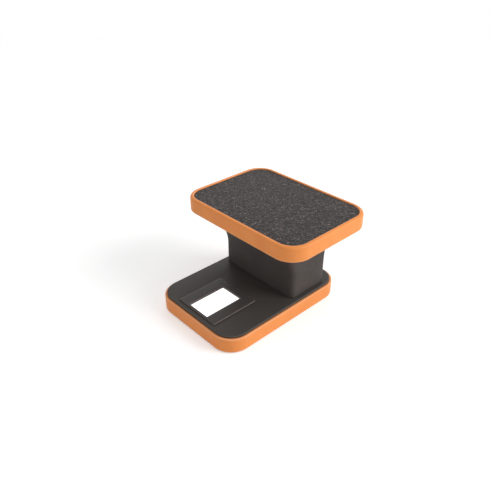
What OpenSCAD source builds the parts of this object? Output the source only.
// Film negative scanner for a phone: a backlit base, a soft column that folds
// down, and a phone deck of the same size that turns crosswise on top of it.
// Millimetres, +Z up. The origin is under the middle of the whole outline, at
// the level of the rubber feet. +Y is the rear, where the column stands.

/* [Decks] */
// Long side of the base and of the phone deck
deck_len = 145; // [130:1:165]
// Short side of both decks
deck_wid = 105; // [98:1:120]
// Thickness of both decks at their orange bands
deck_h = 14.5; // [14.2:0.1:18]
// Radius of the decks' corners, seen from above
corner_r = 20; // [16:1:26]
// Overhang of the phone deck behind the base
deck_overhang = 11; // [8:0.5:14]
// Height of the phone deck's underside above the table
deck_z = 80; // [76:1:88]
// Wall of the plastic casings
wall = 2; // [1.6:0.1:2.4]
// Floor of the base casing
base_floor = 3; // [2.8:0.1:3.1]

/* [Bands] */
// Width of the base's band, seen from above
base_band_w = 2.2; // [1.8:0.1:3]
// Width of the phone deck's band, seen from above
deck_band_w = 3.8; // [3:0.1:5]
// Rounding of the bands' edges
band_edge_r = 1.2; // [0.4:0.1:1.5]
// Rounding of the phone deck's shoulder, its upper outer edge
shoulder_r = 3; // [1.5:0.1:3.4]

/* [Base panel] */
// Thickness of the black top panel
panel_t = 2; // [1.6:0.1:2.4]
// Height by which the panel stands proud of the band
panel_proud = 2; // [1.6:0.1:2.4]
// Rounding of the panel's edge
panel_edge_r = 0.9; // [0.4:0.1:1.4]
// Depth of the seam between panel and casing below the band's rim
seam_below = 2; // [1.5:0.1:3]

/* [Window and film bed] */
// Lit window, across the film
window_w = 24; // [20:0.5:26]
// Lit window, along the film
window_len = 39.5; // [34:0.5:42]
// Gap between the circuit board and the casing's front wall
board_gap = 0.85; // [0.6:0.05:2]
// Lip of the film bed over the diffuser, at each side
window_lip = 1.5; // [1.2:0.1:1.8]
// Width of the raised film bed, that of a slide mount
bed_w = 50; // [48:0.5:54]
// Length of the film bed
bed_len = 50; // [49:0.5:52]
// Distance of the film bed from the base's front edge
bed_in = 6.4; // [5.8:0.1:6.5]
// Height of the film bed above the panel
bed_h = 1; // [0.6:0.1:1.4]
// Rounding of the film bed's upright corners
bed_r = 1.2; // [0.6:0.1:2]
// Depth of the film bed's seat in the panel
bed_seat = 0.5; // [0.3:0.1:0.7]

/* [Column] */
// Distance of the column's side faces from the base's sides
column_side = 6.5; // [6:0.5:9]
// Depth of the column at its foot, front to back
column_d = 45.5; // [43:0.5:47]
// Distance of the column's rear face from the base's rear edge
column_behind = 16.7; // [15:0.1:18]
// Rounding of the column's upright corners
column_r = 5; // [3.5:0.5:7]
// Wall of the soft sleeve
sleeve_t = 1.6; // [1.2:0.1:2]
// Height at which the column starts to flare
flare_z = 39; // [34:1:45]
// Forward flare, as the radius of its curve
flare_front = 38; // [34:1:50]
// Rearward flare, as the radius of its curve
flare_rear = 125; // [100:5:250]

/* [Swivel] */
// Outer radius of the swivel bush
bush_r = 9; // [8:0.5:10]
// Distance of the stop pin from the swivel's axis
stop_radius = 18; // [17:0.5:20]
// Radius of the stop pin
stop_pin_r = 1.5; // [1.2:0.1:1.8]
// Thickness of the head plate that the deck turns on
head_t = 2.6; // [2.2:0.1:3]

/* [Phone deck] */
// Floor of the phone deck's casing
deck_floor = 2.5; // [2:0.1:3]
// Thickness of the lid under the pad
lid_t = 2; // [1.6:0.1:2.4]
// Thickness of the leatherette pad
pad_t = 1.6; // [1.2:0.1:2]
// Depth of the pad's face below the band's rim
pad_sunk = 0.6; // [0.3:0.1:1]

/* [Battery bay] */
// Length of a cell, with its nub
cell_len = 44.5; // [43:0.5:45]
// Radius of a cell
cell_r = 5.25; // [5:0.05:5.3]
// Distance between the two cells' axes
cell_pitch = 11.2; // [11:0.1:12]
// Length of a contact spring between cell and plate
spring_len = 5; // [4:0.5:6]
// Distance from the base's centre back to the middle of the bay
bay_back = 4; // [3:0.5:5]
// Travel of the battery door before it lifts off
door_travel = 8; // [8:0.5:9]

/* [Power button] */
// Radius of the button's cap
button_r = 3.2; // [2.6:0.1:3.4]
// Height by which the cap stands out of the band
button_proud = 1.2; // [1:0.1:1.6]
// Travel of the button
button_travel = 1.2; // [0.8:0.1:1.2]
// Distance from the window's centre back to the button's axis
button_back = 15.2; // [13:0.2:18]

/* [Feet and screws] */
// Radius of a rubber foot
foot_r = 5; // [4:0.5:6]
// Height of the feet below the base
foot_stand = 1; // [0.6:0.1:1.5]
// Depth of the feet's seats in the base
foot_seat = 0.8; // [0.5:0.1:1]
// Distance of the feet from the base's sides
foot_inset = 16; // [15:0.5:18]
// Radius of the casing screws' shanks
screw_r = 1.15; // [1:0.05:1.3]
// Length of the base casing's screws
base_screw_len = 9; // [8:0.5:10]
// Length of the screws that hold the column's foot
foot_screw_len = 8; // [7:0.5:8.5]
// Length of the circuit board's screws
board_screw_len = 3.8; // [3.4:0.1:4]
// Length of the phone deck lid's screw bosses
lid_boss_len = 3; // [2.5:0.1:3.5]

/* [Hidden] */
$fn = 64;

orange = "#f08c46";
black = "#343632";
soft_black = "#3a3836";
leather = "#46413f";
white = "#f4f4f2";
board_green = "#1f5a3a";
steel = "#b9bcc0";

clear = 0.3;            // clearance between pieces that move past each other
seat_clear = 0.15;      // clearance of a piece laid in its seat
fit_clear = 0.05;       // radial clearance of a running fit or a screw in its hole
eps = 0.01;             // overrun of a cut past the face it opens

// The outline reaches from the base's front edge to the phone deck's rear edge
base_y = -deck_overhang / 2;
deck_back = deck_len / 2 + deck_overhang - deck_wid / 2;
bed_front = deck_len / 2 - bed_in - bed_len / 2;
column_w = deck_wid - 2 * column_side;
column_back = deck_len / 2 - column_behind - column_d / 2;

// Heights, from the table up
base_z = foot_stand;
band_top = base_z + deck_h;
panel_top = band_top + panel_proud;
panel_low = panel_top - panel_t;
floor_top = base_z + base_floor;
shell_top = band_top - seam_below;
bed_low = panel_top - bed_seat;
bed_top = panel_top + bed_h;

// Base casing inside its band
shell_len = deck_len - 2 * base_band_w;
shell_wid = deck_wid - 2 * base_band_w;
shell_r = corner_r - base_band_w;
panel_rim = wall + 0.6;

// Light box under the window, and the diffuser that reaches up to the film bed
diffuser_t = 2.4;
diffuser_top = bed_low;
diffuser_low = diffuser_top - diffuser_t;
diffuser_w = window_w + 2 * window_lip;
diffuser_len = window_len + 2 * window_lip;
box_wall = 2;
box_w = diffuser_w + 2 * box_wall;
box_len = diffuser_len + 2 * box_wall;
board_t = 1.2;
board_lift = 1.2;
board_low = floor_top + board_lift;
board_top = board_low + board_t;
board_margin = 0.5;
board_w = box_w + 2 * board_margin;
board_len = box_len + 2 * board_margin;
window_front = shell_len / 2 - wall - board_gap - board_len / 2;

// Battery bay, along X
contact_t = 0.4;
bay_half_x = (cell_len + spring_len) / 2 + contact_t;
bay_half_y = cell_pitch / 2 + cell_r + 0.4;
bay_wall = 1.4;
door_t = 1.5;
door_low = base_z + 0.05;
door_seat_z = door_low + door_t + 0.05;
cell_z = door_seat_z + 0.4 + cell_r;
bay_roof_low = cell_z + cell_r + clear;
bay_roof_t = 0.9;
tongue_w = 1.1;
tongue_t = 0.8;
lip_t = 0.7;
door_half_x = bay_half_x + 3;
door_half_y = bay_half_y + 2.6;
tongue_len = door_travel - 1;
tongue_at = door_half_y - tongue_len / 2 - 2;

// Power button and its switch
button_front = window_front - button_back;
switch_size = [8, 7];
button_z = base_z + deck_h / 2;
button_x = -deck_wid / 2;
wall_inside_x = button_x + base_band_w + wall;
flange_t = 1;
flange_r = button_r + 0.8;
stem_r = 1.25;
switch_x = wall_inside_x + 0.1 + flange_t + button_travel + clear + 0.2;

// Column and its head
sleeve_low = panel_top;
head_gap = 0.5;
head_top = deck_z - head_gap;
head_skirt = 5;
head_low = head_top - head_skirt;
head_wall = 2.2;
plate_low = head_top - head_t;
sleeve_top = head_low - clear;
foot_frame_t = 3;
foot_frame_w = 3.2;
column_front = column_back - column_d / 2;
column_rear = column_back + column_d / 2;

// Swivel: a quarter turn about this point lays the deck exactly over the base
pivot = [deck_back / 2, deck_back / 2];
swivel_angle = 90;
washer_r = 13;
washer_t = 1.2;
washer_low = plate_low - clear - washer_t;
swivel_screw_r = 2;
swivel_head_r = 3.5;
swivel_head_t = 2.2;
glide_w = 5.7;
glide_r = [bush_r + clear, bush_r + clear + glide_w];
glide_t = head_gap - 0.1;

// Phone deck
deck_top = deck_z + deck_h;
pad_top = deck_top - pad_sunk;
pad_low = pad_top - pad_t;
lid_low = pad_low - lid_t;
deck_in_x = deck_len - 2 * deck_band_w;
deck_in_y = deck_wid - 2 * deck_band_w;
deck_in_r = corner_r - deck_band_w;
inner_edge = band_edge_r / 2;
rim_flat = 0.2;
shoulder = min(shoulder_r, deck_band_w - inner_edge - rim_flat);

// Screws
head_r = 2.6;
head_h = 1.6;
boss_r = 3.6;
small_r = 0.9;
small_head_r = 1.8;
small_head_h = 1.2;
base_screw_inset = [9, 22];
foot_screw_inset = 5.2;
deck_screw_inset = 10;
base_screw_at = [shell_wid / 2 - base_screw_inset[0], shell_len / 2 - base_screw_inset[1]];
foot_screw_at = [column_w / 2 - foot_screw_inset,
                 column_d / 2 - sleeve_t - foot_frame_w / 2 - clear];
deck_screw_at = [deck_in_x / 2 - deck_screw_inset, deck_in_y / 2 - deck_screw_inset];
foot_at = [deck_wid / 2 - foot_inset, deck_len / 2 - foot_inset];
corners = [[1, 1], [-1, 1], [-1, -1], [1, -1]];

// ---------- helpers ----------

// Moves what is drawn about the base's centre into the model's frame
module on_base() {
    translate([0, base_y, 0])
        children();
}

// A rectangle with round corners, made of squares and circles
module rounded_rect(len_x, len_y, r) {
    square([len_x - 2 * r, len_y], center = true);
    square([len_x, len_y - 2 * r], center = true);
    for (c = corners)
        translate([c[0] * (len_x / 2 - r), c[1] * (len_y / 2 - r)])
            circle(r);
}

// A flat plate with that outline
module slab(len_x, len_y, r, z_low, z_high) {
    translate([0, 0, z_low])
        linear_extrude(height = z_high - z_low)
            rounded_rect(len_x, len_y, r);
}

// A plain block centred on x and y
module block(size_x, size_y, z_low, z_high) {
    translate([-size_x / 2, -size_y / 2, z_low])
        cube([size_x, size_y, z_high - z_low]);
}

// An upright cylinder between two heights
module post(r, z_low, z_high) {
    translate([0, 0, z_low])
        cylinder(r = r, h = z_high - z_low);
}

// Copies of a thing at the four mirror places of one point
module at_four(place) {
    for (c = corners)
        translate([c[0] * place[0], c[1] * place[1], 0])
            children();
}

// Carries a profile round a rounded outline: x is measured outwards from it
module swept_round(len_x, len_y, r) {
    for (i = [0 : 3])
        translate([corners[i][0] * (len_x / 2 - r), corners[i][1] * (len_y / 2 - r), 0])
            rotate([0, 0, 90 * i])
                rotate_extrude(angle = 90)
                    translate([r, 0])
                        children();
    for (side = [0, 180])
        rotate([0, 0, side])
            translate([len_x / 2, 0, 0])
                rotate([90, 0, 0])
                    linear_extrude(height = len_y - 2 * r, center = true)
                        children();
    for (side = [90, 270])
        rotate([0, 0, side])
            translate([len_y / 2, 0, 0])
                rotate([90, 0, 0])
                    linear_extrude(height = len_x - 2 * r, center = true)
                        children();
}

// The small piece that a rounded edge takes off a square corner at [0, 0]
module edge_cut(r) {
    difference() {
        translate([-eps, -eps])
            square(r + eps);
        translate([r, r])
            circle(r);
    }
}

// Cross-section of a band: outer edges rounded by r_low and r_top, the upper inner one by r_in
module band_profile(w, h, r_low, r_top, r_in) {
    difference() {
        translate([-w, 0])
            square([w, h]);
        mirror([1, 0])
            edge_cut(r_low);
        translate([0, h])
            rotate([0, 0, 180])
                edge_cut(r_top);
        if (r_in > 0)
            translate([-w, h])
                mirror([0, 1])
                    edge_cut(r_in);
    }
}

// A screw standing head down at z_low, or head up when flipped
module screw(shank_r, cap_r, cap_h, length) {
    difference() {
        union() {
            cylinder(r = cap_r, h = cap_h);
            cylinder(r = shank_r, h = length);
        }
        for (turn = [0, 90])
            rotate([0, 0, turn])
                translate([-cap_r * 0.6, -0.25, -eps])
                    cube([cap_r * 1.2, 0.5, cap_h * 0.5]);
    }
}

// ---------- the flared column ----------

// Front and rear faces of the column at a height, from the base's centre
function flare(z, r) = z <= flare_z ? 0 : pow(z - flare_z, 2) / (2 * r);
function front_y(z) = column_front - flare(z, flare_front);
function rear_y(z) = column_rear + flare(z, flare_rear);

// One level of the column's outline, drawn in by an inset, counter-clockwise
arc_steps = 8;
function outline(z, inset) = [
    for (i = [0 : 3], s = [0 : arc_steps])
        let (
            r = column_r - inset,
            a = 90 * i + 90 * s / arc_steps,
            cx = corners[i][0] * (column_w / 2 - column_r),
            cy = corners[i][1] > 0 ? rear_y(z) - column_r : front_y(z) + column_r
        )
        [cx + r * cos(a), cy + r * sin(a), z]
];
ring_n = 4 * (arc_steps + 1);

// Side faces between levels of n points each, numbered from start
function side_faces(levels, start, out) = [
    for (k = [0 : levels - 2], j = [0 : ring_n - 1], half = [0, 1])
        let (
            a = start + k * ring_n + j,
            b = start + k * ring_n + (j + 1) % ring_n,
            c = a + ring_n,
            d = b + ring_n,
            face = half == 0 ? [a, c, b] : [b, c, d]
        )
        out ? face : [face[2], face[1], face[0]]
];

// The flat ring that closes a wall's end, between two levels of points
function end_faces(outer, inner, up) = [
    for (j = [0 : ring_n - 1], half = [0, 1])
        let (
            a = outer + j,
            b = outer + (j + 1) % ring_n,
            c = inner + j,
            d = inner + (j + 1) % ring_n,
            face = half == 0 ? [a, c, b] : [b, c, d]
        )
        up ? face : [face[2], face[1], face[0]]
];

// A wall that follows the flare between two heights, of a given thickness
module flared_wall(z_low, z_high, levels, inset, thickness) {
    zs = [for (k = [0 : levels - 1]) z_low + (z_high - z_low) * k / (levels - 1)];
    outer = [for (z = zs) each outline(z, inset)];
    inner = [for (z = zs) each outline(z, inset + thickness)];
    total = levels * ring_n;
    polyhedron(
        points = concat(outer, inner),
        faces = concat(
            side_faces(levels, 0, true),
            side_faces(levels, total, false),
            end_faces(0, total, false),
            end_faces(total - ring_n, 2 * total - ring_n, true)
        ),
        convexity = 6
    );
}

// A plate that follows the flare between two heights
module flared_plate(z_low, z_high, levels, inset) {
    zs = [for (k = [0 : levels - 1]) z_low + (z_high - z_low) * k / (levels - 1)];
    total = levels * ring_n;
    polyhedron(
        points = [for (z = zs) each outline(z, inset)],
        faces = concat(
            side_faces(levels, 0, true),
            [[for (j = [0 : ring_n - 1]) j]],
            [[for (j = [0 : ring_n - 1]) total - 1 - j]]
        ),
        convexity = 4
    );
}

// ---------- base ----------

// Orange silicone band round the base, pierced for the power button
module base_band() {
    color(orange)
        on_base()
            difference() {
                translate([0, 0, base_z])
                    swept_round(deck_wid, deck_len, corner_r)
                        band_profile(base_band_w, deck_h, band_edge_r, band_edge_r, 0);
                button_hole(base_band_w);
            }
}

// The round hole that the power button slides in
module button_hole(depth) {
    translate([button_x - 1, -button_front, button_z])
        rotate([0, 90, 0])
            cylinder(r = button_r + seat_clear, h = depth + 2);
}

// Lower casing: floor, walls, bay for the cells, and seats for all it carries
module base_shell() {
    color(black)
        on_base()
            difference() {
                union() {
                    difference() {
                        slab(shell_wid, shell_len, shell_r, base_z, shell_top);
                        slab(shell_wid - 2 * wall, shell_len - 2 * wall, shell_r - wall,
                             floor_top, shell_top + 1);
                    }
                    translate([0, bay_back, 0])
                        bay_housing();
                    at_four(base_screw_at)
                        post(boss_r, floor_top - eps, floor_top + 2.5);
                    for (place = board_screw_places)
                        translate(place)
                            post(2.4, floor_top - eps, board_low);
                }
                translate([0, bay_back, 0])
                    bay_cuts();
                at_four(base_screw_at) {
                    post(screw_r + 0.45, base_z - 1, floor_top + 3);
                    post(head_r + clear, base_z - 1, base_z + head_h + 0.4);
                }
                at_four(foot_at)
                    post(foot_r + seat_clear, base_z - 1, base_z + foot_seat);
                for (place = board_screw_places)
                    translate(place)
                        post(small_r + fit_clear, floor_top - 2, board_low + 1);
                button_hole(base_band_w + wall + 1);
            }
}

// Walls and roof of the battery bay, about the bay's centre
module bay_housing() {
    block(2 * (bay_half_x + bay_wall), 2 * (bay_half_y + bay_wall),
          floor_top - eps, bay_roof_low + bay_roof_t);
}

// The bay's hollow, the door's seat and lips, and the slots for the contacts
module bay_cuts() {
    block(2 * bay_half_x, 2 * bay_half_y, door_seat_z - eps, bay_roof_low);
    difference() {
        translate([-(door_half_x + clear), -(door_half_y + clear), base_z - 1])
            cube([2 * (door_half_x + clear), 2 * (door_half_y + clear) + door_travel,
                  door_seat_z - base_z + 1]);
        for (side = [-1, 1], along = [-1, 1])
            translate([side * (door_half_x + clear - tongue_w / 2), along * tongue_at, 0])
                block(tongue_w + eps, tongue_len, base_z, base_z + lip_t);
    }
    for (along = [-1, 1])
        translate([-(bay_half_x + bay_wall / 2), along * cell_pitch / 2, 0])
            block(bay_wall + 2 * eps, tab_w + 2 * seat_clear,
                  board_top - seat_clear, board_top + contact_t + clear);
}

// Top panel: proud of the band, with the film bed's seat, the window and screw bosses
module base_panel() {
    color(black)
        on_base()
            difference() {
                union() {
                    difference() {
                        panel_body();
                        slab(shell_wid - 2 * panel_rim, shell_len - 2 * panel_rim,
                             shell_r - panel_rim, shell_top - 1, panel_low);
                    }
                    at_four(base_screw_at)
                        post(boss_r, floor_top + 2.5, panel_low + eps);
                    translate([0, column_back, 0])
                        at_four(foot_screw_at)
                            post(2.6, foot_screw_low, panel_low + eps);
                }
                translate([0, -bed_front, 0])
                    slab(bed_w + 2 * seat_clear, bed_len + 2 * seat_clear, bed_r + seat_clear,
                         bed_low, panel_top + 1);
                translate([0, -window_front, 0])
                    block(diffuser_w + 2 * seat_clear, diffuser_len + 2 * seat_clear,
                          panel_low - 1, panel_top + 1);
                at_four(base_screw_at)
                    post(screw_r + fit_clear, floor_top + 2, panel_low - 1.5);
                translate([0, column_back, 0])
                    at_four(foot_screw_at)
                        post(small_r + fit_clear, foot_screw_low - 1, panel_top + 1);
            }
}
foot_screw_low = panel_low - 5;

// The panel's solid form, with its quarter-round edge
module panel_body() {
    slab(shell_wid, shell_len, shell_r, shell_top, panel_top - panel_edge_r);
    slab(shell_wid - 2 * panel_edge_r, shell_len - 2 * panel_edge_r, shell_r - panel_edge_r,
         shell_top, panel_top);
    translate([0, 0, panel_top - panel_edge_r])
        swept_round(shell_wid - 2 * panel_edge_r, shell_len - 2 * panel_edge_r,
                    shell_r - panel_edge_r)
            intersection() {
                circle(panel_edge_r);
                square(panel_edge_r);
            }
}

// Raised plate round the window, the size of a slide mount, which holds the diffuser down
module film_bed() {
    color(black)
        on_base()
            difference() {
                translate([0, -bed_front, 0])
                    slab(bed_w, bed_len, bed_r, bed_low, bed_top);
                translate([0, -window_front, 0])
                    block(window_w, window_len, bed_low - 1, bed_top + 1);
            }
}

// Opal plate that spreads the light
module window_diffuser() {
    color(white)
        on_base()
            translate([0, -window_front, 0])
                block(diffuser_w, diffuser_len, diffuser_low, diffuser_top);
}

// White frame that holds the diffuser up to the panel and mixes the light
module light_box() {
    color(white)
        on_base()
            translate([0, -window_front, 0])
                difference() {
                    block(box_w, box_len, board_top, panel_low);
                    block(diffuser_w - 2, diffuser_len - 2, board_top - 1, panel_low + 1);
                    block(diffuser_w + 2 * seat_clear, diffuser_len + 2 * seat_clear,
                          diffuser_low, panel_low + 1);
                }
}

// Circuit board: under the light box, out to the button, back to the contacts
arm_low_y = -button_front - switch_size[1] / 2 - 1.5;
arm_high_y = -window_front + board_len / 2;
tongue_x = -(bay_half_x + bay_wall + clear);
tongue_board_w = 6;
tab_w = 3;
board_screw_places = [
    [board_w / 2 + 2.5, -window_front - board_len / 4, 0],
    [-(board_w / 2 + 2.5), -window_front - board_len / 4, 0],
    [tongue_x - tongue_board_w / 2, arm_high_y - 4, 0]
];
ear_r = 3.4;

module led_board() {
    color(board_green)
        on_base()
            difference() {
                union() {
                    translate([0, -window_front, 0])
                        block(board_w, board_len, board_low, board_top);
                    translate([switch_x, arm_low_y, board_low])
                        cube([-board_w / 2 - switch_x + eps, arm_high_y - arm_low_y,
                              board_t]);
                    translate([tongue_x - tongue_board_w, arm_high_y - eps, board_low])
                        cube([tongue_board_w,
                              bay_back + cell_pitch / 2 + 3 - arm_high_y, board_t]);
                    for (i = [0, 1])
                        translate(board_screw_places[i])
                            post(ear_r, board_low, board_top);
                }
                for (place = board_screw_places)
                    translate(place)
                        post(small_r + 0.2, board_low - 1, board_top + 1);
            }
}

// Light-emitting chips in two rows under the diffuser
led_rows = 5;
led_size = [3.5, 2.8, 0.8];
module leds() {
    color("#f3e9a8")
        on_base()
            for (side = [-1, 1], k = [0 : led_rows - 1])
                translate([side * window_w / 4,
                           -window_front + (k - (led_rows - 1) / 2) * window_len / led_rows, 0])
                    block(led_size[0], led_size[1], board_top, board_top + led_size[2]);
}

// The small parts that feed the lights: driver chip, coil and capacitor
chip_size = [3, 3, 1.1];
coil_size = [4, 4, 2];
capacitor_size = [2, 1.25, 0.9];
chip_inset = [5.5, 3.5];
coil_behind = 5.5;
capacitor_beside = 4.6;
module driver_parts() {
    color("#2b2b2d")
        on_base()
            translate([-board_w / 2 - chip_inset[0], arm_low_y + chip_inset[1], 0]) {
                block(chip_size[0], chip_size[1], board_top, board_top + chip_size[2]);
                translate([0, coil_behind, 0])
                    block(coil_size[0], coil_size[1], board_top, board_top + coil_size[2]);
                translate([-capacitor_beside, 0, 0])
                    block(capacitor_size[0], capacitor_size[1], board_top,
                          board_top + capacitor_size[2]);
            }
}

// Latching push switch that the power button works
module latch_switch() {
    color("#202123")
        on_base()
            difference() {
                translate([switch_x, -button_front - switch_size[1] / 2, board_top])
                    cube([switch_size[0], switch_size[1], 2 * (button_z - board_top)]);
                translate([switch_x - 1, -button_front, button_z])
                    rotate([0, 90, 0])
                        cylinder(r = stem_r + 0.1, h = 1 + 5);
            }
}

// One cell lying along X, its nub towards +X
module cell() {
    nub = 0.8;
    translate([-cell_len / 2, 0, 0])
        rotate([0, 90, 0]) {
            cylinder(r = cell_r, h = cell_len - nub);
            cylinder(r = 1.9, h = cell_len);
        }
}

module front_cell() {
    color("#3b6ea8")
        on_base()
            translate([-spring_len / 2, bay_back - cell_pitch / 2, cell_z])
                rotate([0, 0, 180])
                    cell();
}

module rear_cell() {
    color("#3b6ea8")
        on_base()
            translate([spring_len / 2, bay_back + cell_pitch / 2, cell_z])
                cell();
}

// A conical coil between a contact plate and the flat end of a cell
coil_turns = 3;
coil_wire_r = 0.3;
coil_base_r = 3.2;
coil_tip_r = 1.8;
coil_steps = 14;
coil_sides = 6;
function coil_point(t, l) =
    let (a = 360 * coil_turns * t, r = coil_base_r + (coil_tip_r - coil_base_r) * t)
    [coil_wire_r + t * (l - 2 * coil_wire_r), r * cos(a), r * sin(a)];

module coil(l) {
    n = coil_turns * coil_steps;
    rings = [
        for (k = [0 : n])
            let (
                p = coil_point(k / n, l),
                a = 360 * coil_turns * k / n,
                radial = [0, cos(a), sin(a)]
            )
            for (s = [0 : coil_sides - 1])
                let (b = 360 * s / coil_sides)
                p + coil_wire_r * (radial * cos(b) + [sin(b), 0, 0])
    ];
    polyhedron(
        points = rings,
        faces = concat(
            [for (k = [0 : n - 1], s = [0 : coil_sides - 1], half = [0, 1])
                let (
                    a = k * coil_sides + s,
                    b = k * coil_sides + (s + 1) % coil_sides,
                    c = a + coil_sides,
                    d = b + coil_sides
                )
                half == 0 ? [a, b, c] : [b, d, c]],
            [[for (s = [0 : coil_sides - 1]) coil_sides - 1 - s]],
            [[for (s = [0 : coil_sides - 1]) n * coil_sides + s]]
        ),
        convexity = 10
    );
}

module contact_springs() {
    color(steel)
        on_base()
            for (turn = [0, 180])
                translate([0, bay_back, cell_z])
                    rotate([0, 0, turn])
                        translate([-(bay_half_x - contact_t), cell_pitch / 2, 0])
                            coil(spring_len);
}

// Plates behind the cells: one each at the left, one across both at the right
plate_w = 9;
module contact_plates() {
    color(steel)
        on_base()
            translate([0, bay_back, 0]) {
                for (along = [-1, 1])
                    translate([-bay_half_x, along * cell_pitch / 2, 0]) {
                        translate([0, -plate_w / 2, cell_z - plate_w / 2])
                            cube([contact_t, plate_w, plate_w]);
                        translate([-(bay_wall + clear + 3), -tab_w / 2, board_top])
                            cube([bay_wall + clear + 3 + contact_t, tab_w, contact_t]);
                    }
                translate([bay_half_x - contact_t, -(cell_pitch + plate_w) / 2,
                           cell_z - plate_w / 2])
                    cube([contact_t, cell_pitch + plate_w, plate_w]);
            }
}

// Four rubber feet in round seats
module rubber_feet() {
    color("#1d1d1e")
        on_base()
            at_four(foot_at) {
                post(foot_r, 0.4, base_z + foot_seat);
                post(foot_r - 0.6, 0, 0.4);
            }
}

// Screws from below into the panel's bosses
module base_screws() {
    color(steel)
        on_base()
            at_four(base_screw_at)
                translate([0, 0, base_z + 0.4])
                    screw(screw_r, head_r, head_h, base_screw_len);
}

// Screws that hold the circuit board to its posts
module board_screws() {
    color(steel)
        on_base()
            for (place = board_screw_places)
                translate(place)
                    translate([0, 0, board_top + small_head_h])
                        mirror([0, 0, 1])
                            screw(small_r, small_head_r, small_head_h, board_screw_len);
}

// ---------- column ----------

// Frame on the panel that the sleeve's lower edge is stretched over
module column_foot() {
    color(black)
        on_base()
            translate([0, column_back, 0])
                difference() {
                    slab(column_w - 2 * foot_play, column_d - 2 * foot_play,
                         column_r - foot_play, panel_top, panel_top + foot_frame_t);
                    slab(column_w - 2 * (foot_play + foot_frame_w),
                         column_d - 2 * (foot_play + foot_frame_w), 1.2,
                         panel_top - 1, panel_top + foot_frame_t + 1);
                    at_four(foot_screw_at) {
                        post(small_r + 0.2, panel_top - 1, panel_top + foot_frame_t + 1);
                        post(small_head_r + seat_clear,
                             panel_top + foot_frame_t - small_head_h - 0.1,
                             panel_top + foot_frame_t + 1);
                    }
                }
}
foot_play = sleeve_t + 0.1;

// Screws that hold the foot frame to the panel
module foot_screws() {
    color(steel)
        on_base()
            translate([0, column_back, 0])
                at_four(foot_screw_at)
                    translate([0, 0, panel_top + foot_frame_t - 0.1])
                        mirror([0, 0, 1])
                            screw(small_r, small_head_r, small_head_h, foot_screw_len);
}

// Soft sleeve that stands as the column and folds as the deck is pressed down
module column_sleeve() {
    color(soft_black)
        on_base()
            flared_wall(sleeve_low, sleeve_top, 16, 0, sleeve_t);
}

// Head that the sleeve ends in: a skirt, and the plate that the deck turns on
module column_head() {
    color(black)
        on_base()
            difference() {
                union() {
                    flared_wall(head_low, plate_low + 0.5, 4, 0, head_wall);
                    flared_plate(plate_low, head_top, 3, 0);
                }
                translate(pivot) {
                    post(bush_r + fit_clear, plate_low - 1, head_top + 1);
                    stop_slot();
                }
            }
}

// The curved slot that the stop pin runs in, about the swivel's axis
module stop_slot() {
    slot_r = stop_pin_r + 0.2;
    translate([0, 0, plate_low - 1])
        rotate([0, 0, 180]) {
            rotate_extrude(angle = swivel_angle)
                translate([stop_radius - slot_r, 0])
                    square([2 * slot_r, head_t + 2]);
            for (a = [0, swivel_angle])
                rotate([0, 0, a])
                    translate([stop_radius, 0, 0])
                        cylinder(r = slot_r, h = head_t + 2);
        }
}

// ---------- moving pieces of the base ----------

// Battery door: a plate with tongues that run under the casing's lips, and grip grooves
grooves = 3;
groove_len = 16;
groove_w = 1;
groove_depth = 0.45;
groove_pitch = 2;
groove_inset = 3;
module battery_door() {
    color(black)
        on_base()
            translate([0, bay_back, 0])
                difference() {
                    union() {
                        block(2 * (door_half_x - tongue_w - seat_clear), 2 * door_half_y,
                              door_low, door_low + door_t);
                        for (along = [-1, 1])
                            translate([0, along * tongue_at, 0])
                                block(2 * door_half_x, tongue_len,
                                      door_low + door_t - tongue_t, door_low + door_t);
                    }
                    for (k = [0 : grooves - 1])
                        translate([0, -door_half_y + groove_inset + groove_pitch * k, 0])
                            block(groove_len, groove_w, door_low - 1, door_low + groove_depth);
                }
}

// Power button: domed cap, a flange behind the wall and a stem into the switch
module power_button() {
    flange_x = wall_inside_x + 0.1;
    color("#26272a")
        on_base()
            translate([0, -button_front, button_z])
                rotate([0, 90, 0]) {
                    translate([0, 0, button_x - button_proud])
                        cylinder(r = button_r, h = flange_x - button_x + button_proud);
                    translate([0, 0, flange_x])
                        cylinder(r = flange_r, h = flange_t);
                    translate([0, 0, flange_x])
                        cylinder(r = stem_r, h = switch_x + 3 - flange_x);
                }
}

// ---------- phone deck ----------

// Moves what is drawn about the phone deck's centre into the model's frame
module on_deck() {
    on_base()
        translate([0, deck_back, 0])
            children();
}

// The swivel's axis, from the phone deck's centre
deck_pivot = pivot - [0, deck_back];
stop_place = deck_pivot - [stop_radius, 0];

// Orange silicone band round the phone deck
module deck_band() {
    color(orange)
        on_deck()
            translate([0, 0, deck_z])
                swept_round(deck_len, deck_wid, corner_r)
                    band_profile(deck_band_w, deck_h, band_edge_r, shoulder, inner_edge);
}

// Casing of the phone deck, open at the top
module deck_shell() {
    hub_r = 6;
    color(black)
        on_deck()
            difference() {
                union() {
                    difference() {
                        slab(deck_in_x, deck_in_y, deck_in_r, deck_z, lid_low);
                        slab(deck_in_x - 2 * wall, deck_in_y - 2 * wall, deck_in_r - wall,
                             deck_z + deck_floor, lid_low + 1);
                    }
                    translate(deck_pivot)
                        post(hub_r, deck_z + deck_floor - eps, lid_low);
                    at_four(deck_screw_at)
                        post(boss_r, deck_z + deck_floor - eps, lid_low - lid_boss_len);
                }
                translate(deck_pivot)
                    post(swivel_screw_r + fit_clear, deck_z - 1, lid_low - 1);
                translate(stop_place)
                    post(stop_pin_r + 0.02, deck_z - 1, deck_z + deck_floor - 0.5);
                at_four(deck_screw_at) {
                    post(screw_r + 0.45, deck_z - 1, lid_low + 1);
                    post(head_r + clear, deck_z - 1, deck_z + head_h + 0.4);
                }
            }
}

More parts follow.
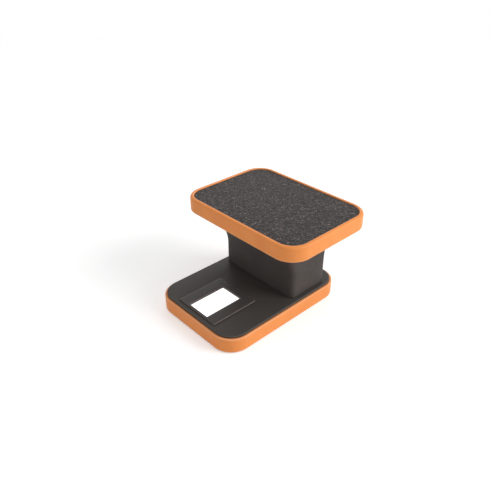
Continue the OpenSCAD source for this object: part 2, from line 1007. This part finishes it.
// Lid that closes the casing and carries the pad
module deck_lid() {
    color(black)
        on_deck()
            difference() {
                union() {
                    slab(deck_in_x, deck_in_y, deck_in_r, lid_low, pad_low);
                    at_four(deck_screw_at)
                        post(boss_r, lid_low - lid_boss_len, lid_low + eps);
                }
                at_four(deck_screw_at)
                    post(screw_r + fit_clear, lid_low - lid_boss_len - 1, pad_low - 0.6);
            }
}

// Grained leatherette pad that the phone lies on
module phone_pad() {
    color(leather)
        on_deck()
            slab(deck_in_x - 2 * seat_clear, deck_in_y - 2 * seat_clear,
                 deck_in_r - seat_clear, pad_low, pad_top);
}

// Screws from below into the lid
module deck_screws() {
    color(steel)
        on_deck()
            at_four(deck_screw_at)
                translate([0, 0, deck_z + 0.4])
                    screw(screw_r, head_r, head_h, lid_low - deck_z + 0.6);
}

// Bush that turns in the head plate's bore
module swivel_bush() {
    color("#d9d6cc")
        on_base()
            translate(pivot)
                difference() {
                    post(bush_r, washer_low + washer_t, deck_z);
                    post(swivel_screw_r + 0.2, washer_low, deck_z + 1);
                }
}

// Thin washer that the deck glides on
module glide_washer() {
    color("#d9d6cc")
        on_base()
            translate(pivot)
                difference() {
                    post(glide_r[1], deck_z - glide_t, deck_z);
                    post(glide_r[0], deck_z - glide_t - 1, deck_z + 1);
                }
}

// Wide washer under the head plate, which keeps the deck from lifting
module swivel_washer() {
    color(steel)
        on_base()
            translate(pivot)
                difference() {
                    post(washer_r, washer_low, washer_low + washer_t);
                    post(swivel_screw_r + 0.2, washer_low - 1, washer_low + washer_t + 1);
                }
}

// Screw up through washer and bush into the deck's hub
module swivel_screw() {
    color(steel)
        on_base()
            translate(pivot)
                translate([0, 0, washer_low - swivel_head_t])
                    screw(swivel_screw_r, swivel_head_r, swivel_head_t,
                          lid_low - 2 - washer_low + swivel_head_t);
}

// Pin in the deck's floor that meets the ends of the head's slot
module stop_pin() {
    color(steel)
        on_deck()
            translate(stop_place)
                post(stop_pin_r, plate_low, deck_z + deck_floor - 0.5);
}

base_band();
base_shell();
base_panel();
film_bed();
window_diffuser();
light_box();
led_board();
leds();
driver_parts();
latch_switch();
front_cell();
rear_cell();
contact_springs();
contact_plates();
rubber_feet();
base_screws();
board_screws();
column_foot();
foot_screws();
column_sleeve();
battery_door();
power_button();
column_head();
deck_band();
deck_shell();
deck_lid();
phone_pad();
deck_screws();
swivel_bush();
glide_washer();
swivel_washer();
swivel_screw();
stop_pin();
